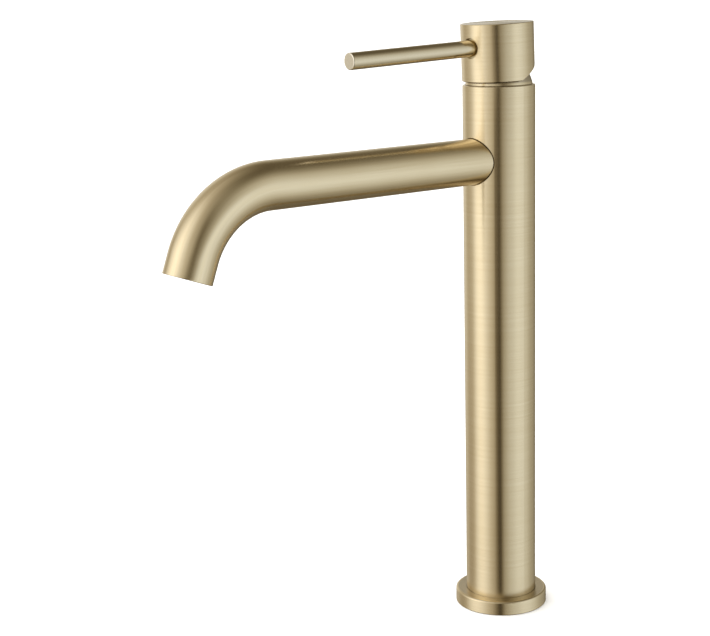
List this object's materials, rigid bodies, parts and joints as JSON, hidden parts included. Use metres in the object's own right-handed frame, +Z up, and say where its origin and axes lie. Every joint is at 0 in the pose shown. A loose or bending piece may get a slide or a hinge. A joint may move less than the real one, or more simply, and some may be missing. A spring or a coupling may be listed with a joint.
{
  "type": "basin mixer faucet",
  "caption": "Tall round-column basin mixer with a long downturned spout and a pin lever head that turns for temperature and lifts for flow.",
  "frame": {"origin": "on the deck at the column's axis, in the foot block's underside", "axes": "+Z up along the column, -Y along the spout and the lever, -X the hot side"},
  "size_m": [0.0524, 0.2405, 0.3342],
  "materials": {
    "gold": "brushed champagne gold",
    "raw_brass": "machined",
    "copper_pipe": "drawn",
    "black_rubber": "matte",
    "steel": "ground",
    "white_plastic": "moulded",
    "grey_plastic": "moulded",
    "ceramic": "lapped ceramic"
  },
  "bodies": {
    "mixer_body": {"base_flange": "gold", "base_gasket": "black_rubber", "column": "gold", "foot_block": "raw_brass", "hot_riser": "copper_pipe", "cold_riser": "copper_pipe", "foot_seals": "black_rubber", "block_seals": "black_rubber", "valve_block": "raw_brass", "spout_tube": "gold", "spout_insert": "raw_brass", "spout_seal": "black_rubber", "aerator_holder": "gold", "aerator_washer": "black_rubber", "aerator_housing": "grey_plastic", "aerator_screen": "white_plastic", "cartridge_base": "white_plastic", "port_seals": "black_rubber", "fixed_disc": "ceramic", "cartridge_housing": "white_plastic", "glide_ring": "grey_plastic", "retaining_nut": "raw_brass", "dome_cover": "gold"},
    "cartridge_sleeve": {"turning_sleeve": "grey_plastic", "pivot_pin": "steel"},
    "lever": {"lever_stem": "raw_brass", "handle_head": "gold", "lever_rod": "gold", "grub_screw": "steel"},
    "disc_slide": {"moving_disc": "ceramic", "disc_carrier": "grey_plastic"}
  },
  "joints": [
    {"name": "temperature_turn", "type": "hinge", "parent": "mixer_body", "child": "cartridge_sleeve", "pos_m": [0, 0, 0.297], "axis": [0, 0, 1], "range_deg": [-45, 45]},
    {"name": "flow_lift", "type": "hinge", "parent": "cartridge_sleeve", "child": "lever", "pos_m": [0, 0, 0.297], "axis": [-1, 0, 0], "range_deg": [0, 24]},
    {"name": "disc_travel", "type": "slide", "parent": "cartridge_sleeve", "child": "disc_slide", "axis": [0, -1, 0], "range_m": [0, 0.0046]}
  ],
  "couplings": [
    {"joint": "disc_travel", "follows": "flow_lift", "m_per_rad": 0.010754}
  ]
}
